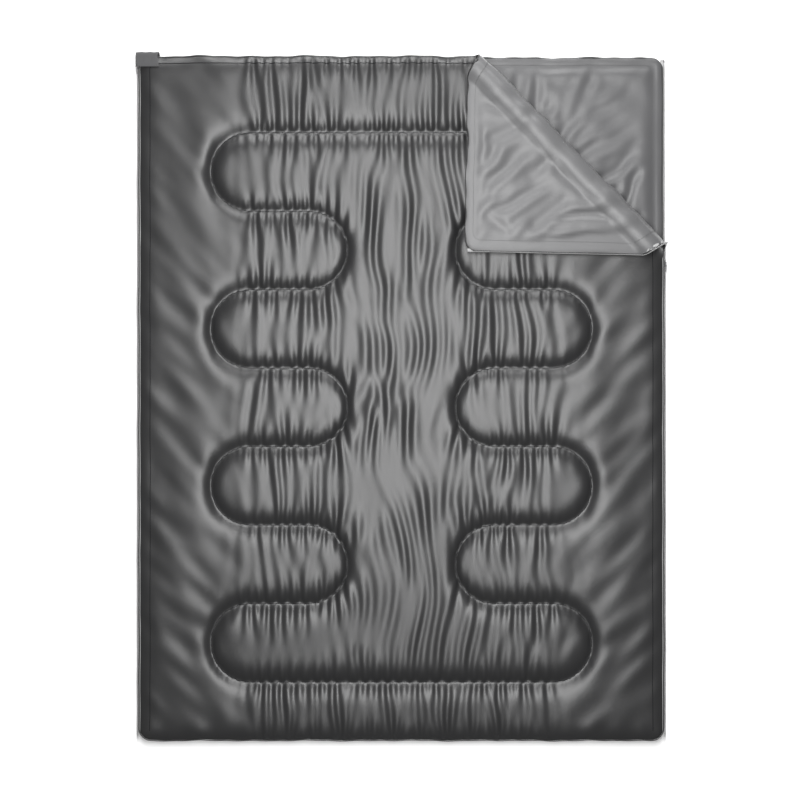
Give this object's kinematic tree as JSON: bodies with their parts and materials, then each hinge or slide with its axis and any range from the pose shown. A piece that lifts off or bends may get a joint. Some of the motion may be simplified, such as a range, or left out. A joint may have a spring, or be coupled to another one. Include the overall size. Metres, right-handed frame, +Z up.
{
  "type": "rectangular double sleeping bag",
  "caption": "Rectangular double-width sleeping bag: quilted top and bottom quilts joined by a side zip on each edge and a foot gusset, with one head corner folded back.",
  "frame": {"origin": "on the ground under the middle of the bag's bounding box", "axes": "+X to the right side as seen from above with the head end up, +Y to the head end, +Z up"},
  "size_m": [1.475, 1.912, 0.0825],
  "materials": {
    "shell": "satin",
    "lining": "matte",
    "batting": "matte",
    "thread": "matte",
    "zip_tape": "matte",
    "zip_coil": "satin",
    "zip_metal": "satin",
    "tab_cloth": "matte",
    "touch_tape": "matte"
  },
  "bodies": {
    "bag": {"bottom_shell": "shell", "bottom_fill": "batting", "bottom_lining": "lining", "bottom_quilting": "thread", "bottom_hem_stitching": "thread", "top_shell": "shell", "top_fill": "batting", "top_lining": "lining", "top_quilting": "thread", "top_hem_stitching": "thread", "foot_gusset": "shell", "left_lower_tape": "zip_tape", "left_upper_tape": "zip_tape", "left_lower_coil": "zip_coil", "left_upper_coil": "zip_coil", "right_lower_tape": "zip_tape", "right_upper_tape": "zip_tape", "right_lower_coil": "zip_coil", "right_upper_coil": "zip_coil", "bottom_stops": "zip_metal", "top_stops": "zip_metal", "tab_loop": "touch_tape"},
    "flap": {"flap_shell": "shell", "flap_fill": "batting", "flap_lining": "lining", "flap_quilting": "thread", "flap_hem_stitching": "thread", "flap_tape": "zip_tape", "flap_coil": "zip_coil", "flap_stop": "zip_metal"},
    "left_slider": {"left_slider": "zip_metal"},
    "left_pull": {"left_pull": "zip_metal"},
    "right_slider": {"right_slider": "zip_metal"},
    "right_pull": {"right_pull": "zip_metal"},
    "tab": {"closure_tab": "tab_cloth", "tab_hook": "touch_tape"}
  },
  "joints": [
    {"name": "flap_fold", "type": "hinge", "parent": "bag", "child": "flap", "pos_m": [0.186, 0.944, 0.0465], "axis": [-0.7006, 0.7136, 0], "range_deg": [0, 178]},
    {"name": "right_zip", "type": "slide", "parent": "bag", "child": "right_slider", "axis": [0, 1, 0], "range_m": [-1.2975, 0.5505]},
    {"name": "right_pull_swing", "type": "hinge", "parent": "right_slider", "child": "right_pull", "pos_m": [0.7359, 0.373, 0.023], "axis": [0, 0, 1], "range_deg": [0, 180]},
    {"name": "left_zip", "type": "slide", "parent": "bag", "child": "left_slider", "axis": [0, 1, 0], "range_m": [-1.848, 0]},
    {"name": "left_pull_swing", "type": "hinge", "parent": "left_slider", "child": "left_pull", "pos_m": [-0.7359, 0.9235, 0.023], "axis": [0, 0, -1], "range_deg": [0, 180]},
    {"name": "tab_peel", "type": "hinge", "parent": "bag", "child": "tab", "pos_m": [-0.7045, 0.946, 0.016], "axis": [-1, 0, 0], "range_deg": [0, 90]}
  ]
}
